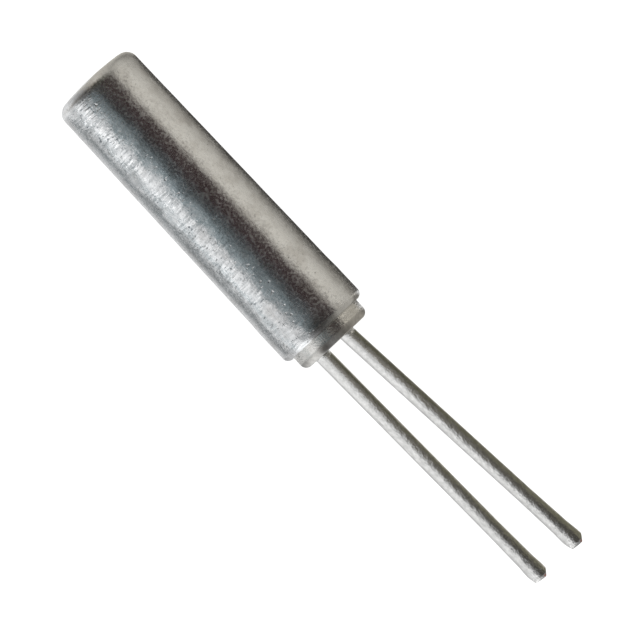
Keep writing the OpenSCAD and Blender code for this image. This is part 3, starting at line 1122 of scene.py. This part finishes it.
def bent_lead_tree():
    bench = GeometryBench("bent_lead")
    material = bench.size("Material", "Material")
    rows = CAP_ROWS + lead_rows + EDGE_ROWS + CAP_ROWS + 1
    grid, counted, angle = grid_places(bench, rows, LEAD_AROUND)
    row = counted - CAP_ROWS
    start, exit_y = bench.size("Start along"), bench.size("Exit across")
    along, across, facing = walk(bench, row, lead_steps, start, exit_y, 0.0 * row)
    side, up, rounding = lead_section(bench, row, counted, angle)

    walked = sum(bench.size(title) * share_of(row, title) for title in STRAIGHT_STEPS)
    kept, side = crop_tip(bench, walked + rounding, side)
    shift = kept - walked
    inputs = {
        "X": along + shift * cosine(facing) - side * sine(facing),
        "Y": across + shift * sine(facing) + side * cosine(facing),
        "Z": up + AXIS_Z,
    }
    place = bench.node("ShaderNodeCombineXYZ", {}, inputs)

    # The blades went through the tin along the bevel's edge and laid the wire's core bare.
    # The mark is stored while the grid is still flat, as its rows are read from its places.
    core = bench.size("Core width")
    beside = side - bench.size("Crop edge") - core / 4
    behind = bench.size("Straight length") - kept
    bare = 1 - between(behind, core / 2, core)
    bare = bare * (1 - between(beside.maths("ABSOLUTE", beside), core / 2, core))
    inputs = {"Geometry": grid, "Name": "bare_core", "Value": bare}
    marked = bench.node("GeometryNodeStoreNamedAttribute", {}, inputs)
    bent = bench.node("GeometryNodeSetPosition", {}, {"Geometry": marked, "Position": place})
    bench.finish(bent, material)
    return bench.tree


lead_tree = bent_lead_tree()
print("lead tree ready,", len(lead_tree.nodes), "nodes")

# %% [markdown]
# ## Both leads
#
# One tree makes both leads. They differ only in where they leave the glass, how much they
# lean and how far they reach. Each would be mirrored in the other, and in the ring, across
# the tent's light, so both are left out of the reflections, as the white sheet is.

# %% Bend and crop both leads
BEND_R = 1.5 * MM
COIN_W, COIN_T, COIN_LENGTH = 0.33 * MM, 0.13 * MM, 0.45 * MM
TINNED_R, TIP_R = 0.129 * MM, 0.14 * MM
TIN_LENGTH, BULGE_LENGTH = 1.0 * MM, 0.34 * MM
TIP_ROUND = 0.06 * MM
END_SLOPE = math.tan(math.radians(9))
CROP_LENGTH, CROP_SLOPE = 0.085 * MM, math.tan(math.radians(40))
NIP_LENGTH, NIP_SLOPE = 0.16 * MM, math.tan(math.radians(10))
BLUNTING = 0.012 * MM
TIP_CORNER, CORNER_SLOPE = 0.06 * MM, math.tan(math.radians(45))
CORE_WIDTH = 0.04 * MM
LEFT_LEAN, RIGHT_LEAN = 1.5, 4.6
LEFT_REACH, RIGHT_REACH = 4.41 * MM, 4.4 * MM

# The bevel meets the slanted end face here: beside the middle line, and ahead of it.
crop_edge = (TIP_R - CROP_LENGTH * CROP_SLOPE) / (1 + END_SLOPE * CROP_SLOPE)
crop_edge_ahead = crop_edge * END_SLOPE


def bend_lead(name, exit_y, lean, reach):
    """One lead. lean is the angle in degrees, reach how far its tip stands before the ring."""
    lean = math.radians(lean)
    beyond_bend = reach + RING_FACE_X - GLASS_FACE_X - BEND_R * math.sin(lean)
    straight = (beyond_bend + crop_edge * math.sin(lean)) / math.cos(lean) - crop_edge_ahead
    sizes = {
        "Material": lead_finish,
        "Start along": left_low.x,
        "Exit across": exit_y,
        "Coined flat": COIN_LENGTH,
        "Blend": RING_BACK_X - left_low.x - COIN_LENGTH,
        "Through the ring": GLASS_FACE_X - RING_BACK_X,
        "Bend radius": BEND_R,
        "Bend turn": lean,
        "Shank": straight - TIN_LENGTH,
        "Tin": TIN_LENGTH - BULGE_LENGTH,
        "Bulge": BULGE_LENGTH / 2,
        "Tip": BULGE_LENGTH / 2 + crop_edge_ahead - TIP_ROUND,
        "Straight length": straight,
        "Wire radius": LEAD_R,
        "Tinned radius": TINNED_R,
        "Tip radius": TIP_R,
        "Coin width": COIN_W,
        "Coin thickness": COIN_T,
        "Edge rounding": TIP_ROUND,
        "End slope": END_SLOPE,
        "Crop length": CROP_LENGTH,
        "Crop slope": CROP_SLOPE,
        "Crop edge": crop_edge,
        "Nip length": NIP_LENGTH,
        "Nip slope": NIP_SLOPE,
        "Blunting": BLUNTING,
        "Corner": TIP_CORNER,
        "Corner slope": CORNER_SLOPE,
        "Core width": CORE_WIDTH,
    }
    lead = grow(name, lead_tree, sizes)
    measure(lead)
    return lead


left_lead = bend_lead("lead_wire_left", LEFT_Y, LEFT_LEAN, LEFT_REACH)
right_lead = bend_lead("lead_wire_right", RIGHT_Y, RIGHT_LEAN, RIGHT_REACH)
for lead in (left_lead, right_lead):
    lead.visible_glossy = False

# %% [markdown]
# ## The glass
#
# A bead of glass is melted in the ring round the two leads. It wets the metal, so its face
# sags in the middle, stands higher at the ring, and creeps up each lead in a little collar.
# A disc with two holes has no simple grid, so its face is triangulated from points: rows of
# them close to the round edges, and an even scatter between. The height of each point is
# then worked out from its distance to the metal.

# %% Melt the glass
GLASS_SAG = 0.035 * MM
GLASS_CREEP = 0.04 * MM
GLASS_STEP = 0.022 * MM
RIM_POINTS, HOLE_POINTS = 160, 64
EDGE_ROOM = 0.6 * GLASS_STEP
COLLAR_SHARES = (0.12, 0.26, 0.42, 0.6, 0.8, 1.0)
WELD_DISTANCE = 0.00001 * MM

sag_r = (GLASS_R**2 + GLASS_SAG**2) / (2 * GLASS_SAG)
lead_exits = [Vector((LEFT_Y, 0)), Vector((RIGHT_Y, 0))]


def circle_points(centre, radius, count):
    turns = [math.tau * n / count for n in range(count)]
    return [centre + radius * Vector((math.cos(t), math.sin(t))) for t in turns]


def glass_height(point):
    """How far the face stands in front of its lowest place, from 0 to GLASS_SAG."""
    dish = sag_r - math.sqrt(sag_r**2 - min(point.length, GLASS_R) ** 2)
    for centre in lead_exits:
        away = max(0.0, (point - centre).length - LEAD_R) / GLASS_CREEP
        dish = max(dish, GLASS_SAG * max(0.0, 1 - away) ** 2)
    return dish


def outline_of_glass():
    """Points on the rim and on both holes, and the edges that join each circle of them."""
    loops = [circle_points(Vector((0, 0)), GLASS_R, RIM_POINTS)]
    loops += [circle_points(centre, LEAD_R, HOLE_POINTS) for centre in lead_exits]
    edges, first = [], 0
    for loop in loops:
        count = len(loop)
        edges += [(first + n, first + (n + 1) % count) for n in range(count)]
        first += count
    return [point for loop in loops for point in loop], edges


def points_within_glass():
    """Rings of points up each collar, then an even scatter over the rest of the face."""
    inside = []
    for centre in lead_exits:
        for share in COLLAR_SHARES:
            inside += circle_points(centre, LEAD_R + share * GLASS_CREEP, HOLE_POINTS)
    reach = int(GLASS_R / GLASS_STEP) + 1
    for i in range(-reach, reach + 1):
        for j in range(-reach, reach + 1):
            point = GLASS_STEP * Vector((i + 0.5 * (j % 2), j * math.sqrt(0.75)))
            clear = all((point - c).length > LEAD_R + GLASS_CREEP + EDGE_ROOM for c in lead_exits)
            if clear and point.length < GLASS_R - EDGE_ROOM:
                inside.append(point)
    return inside


def triangulate_glass(flat, edges):
    """The flat points as joined up in triangles, without those that lie in a hole."""
    # It works in millimetres, where its tolerance suits the spacing.
    scaled = [point / MM for point in flat]
    points, _, triangles, *_ = delaunay_2d_cdt(scaled, edges, [], 0, 1e-7)
    kept = []
    for triangle in triangles:
        middle = sum((points[n] for n in triangle), Vector((0, 0))) / 3 * MM
        if middle.length < GLASS_R and all((middle - c).length > LEAD_R for c in lead_exits):
            kept.append(triangle)
    return [point * MM for point in points], kept


def clean_and_shade(mesh):
    """Welds doubles, drops loose points, turns the faces outward and shades them smooth."""
    shape = bmesh.new()
    shape.from_mesh(mesh)
    bmesh.ops.remove_doubles(shape, verts=shape.verts, dist=WELD_DISTANCE)
    loose = [v for v in shape.verts if not v.link_faces]
    bmesh.ops.delete(shape, geom=loose, context="VERTS")
    bmesh.ops.recalc_face_normals(shape, faces=shape.faces)
    for face in shape.faces:
        face.smooth = True
    for edge in shape.edges:
        edge.smooth = len(edge.link_faces) < 2 or edge.calc_face_angle() < SHARP_ANGLE
    shape.to_mesh(mesh)
    shape.free()


def make_glass():
    outline, edges = outline_of_glass()
    flat, kept = triangulate_glass(outline + points_within_glass(), edges)
    count = len(flat)
    front = [(GLASS_FACE_X - GLASS_SAG + glass_height(p), p.x, AXIS_Z + p.y) for p in flat]
    back = [(GLASS_BACK_X, p.x, AXIS_Z + p.y) for p in flat]
    faces = [tuple(t) for t in kept] + [tuple(n + count for n in reversed(t)) for t in kept]
    for here, beyond in edges:
        faces.append((here, here + count, beyond + count, beyond))
    mesh = bpy.data.meshes.new("glass_bead")
    mesh.from_pydata(front + back, [], faces)
    clean_and_shade(mesh)
    return new_object("glass_bead", mesh)


def dark_glass():
    material, bench = new_material("fused_dark_glass")
    cloud = marks(bench, 0.18 * MM, 3.0, 0.6)
    seeds = between(marks(bench, 0.03 * MM, 0.0), 0.72, 0.78)
    colour = mix(cloud, (0.035, 0.05, 0.045, 1), (0.09, 0.12, 0.105, 1))
    colour = mix(seeds * 0.6, colour, (0.32, 0.36, 0.33, 1))
    normal = bumps(bench, 4 * cloud - 1.6 * seeds)
    inputs = {
        "Base Color": colour,
        "Roughness": 0.08 + 0.1 * cloud,
        "IOR": 1.5,
        "Coat Roughness": 0.05,
        "Normal": normal,
    }
    finish_surface(bench, bench.node("ShaderNodeBsdfPrincipled", {}, inputs))
    return material


glass = make_glass()
glass.data.materials.append(dark_glass())
measure(glass)

# %% [markdown]
# ## Inside the can
#
# The quartz fork and its two beads of solder are closed in and never seen, but the model is
# used in cut-away pictures too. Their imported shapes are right, so they stay as they are and
# only get a finish: clear quartz that carries thin metal electrodes along its arms, and
# solder with the dull, cloudy skin that it cools with.

# %% Quartz and solder
def electroded_quartz():
    material, bench = new_material("electroded_quartz")
    along, across = place_along(bench, "X"), place_along(bench, "Y")
    fork_low, fork_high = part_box("quartz_fork")
    middle = (fork_low.y + fork_high.y) / 2
    arm_middle = (fork_high.y - fork_low.y) * 0.3
    from_middle = across.maths("ABSOLUTE", across - middle)
    from_arm = from_middle.maths("ABSOLUTE", from_middle - arm_middle)
    stripe = 1 - between(from_arm, 0.06 * MM, 0.07 * MM)
    stripe = stripe * between(along, fork_low.x + 0.9 * MM, fork_low.x + 0.92 * MM)
    cloud = marks(bench, 0.15 * MM, 3.0, 0.6)
    etched = marks(bench, 0.03 * MM, 2.0, 0.6)
    clear = mix(cloud, (0.80, 0.82, 0.78, 1), (0.88, 0.89, 0.86, 1))
    colour = mix(stripe, clear, (0.83, 0.70, 0.42, 1))
    normal = bumps(bench, 3 * etched + stripe)
    inputs = {
        "Base Color": colour,
        "Metallic": stripe,
        "Roughness": 0.12 + 0.12 * cloud,
        "IOR": 1.544,
        "Normal": normal,
    }
    finish_surface(bench, bench.node("ShaderNodeBsdfPrincipled", {}, inputs))
    return material


def dull_solder():
    material, bench = new_material("dull_solder")
    cloud = marks(bench, 0.08 * MM, 3.0, 0.6)
    frost = marks(bench, 0.02 * MM, 2.0, 0.6)
    colour = mix(cloud, (0.62, 0.63, 0.64, 1), (0.70, 0.70, 0.69, 1))
    normal = bumps(bench, 2.4 * cloud + 1.6 * frost)
    metal(bench, colour, 0.3 + 0.2 * frost, normal)
    return material


quartz_finish, solder_finish = electroded_quartz(), dull_solder()
for node, finish in [
    ("quartz_fork", quartz_finish),
    ("solder_left", solder_finish),
    ("solder_right", solder_finish),
]:
    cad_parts[node].material_slots[0].material = finish
print("quartz and solder have their finishes")

# %% [markdown]
# ## Tie the pieces to the frame
#
# Each new piece takes the place of one imported piece and rides on the only body.

# %% Rides on the body
for piece, node, slot in [
    (can, "can", "can_metal"),
    (ring, "stem_ring", "ring_metal"),
    (glass, "glass_seal", "seal_glass"),
    (left_lead, "lead_left", "lead_tin"),
    (right_lead, "lead_right", "lead_tin"),
]:
    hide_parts(node)
    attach(piece, "root")
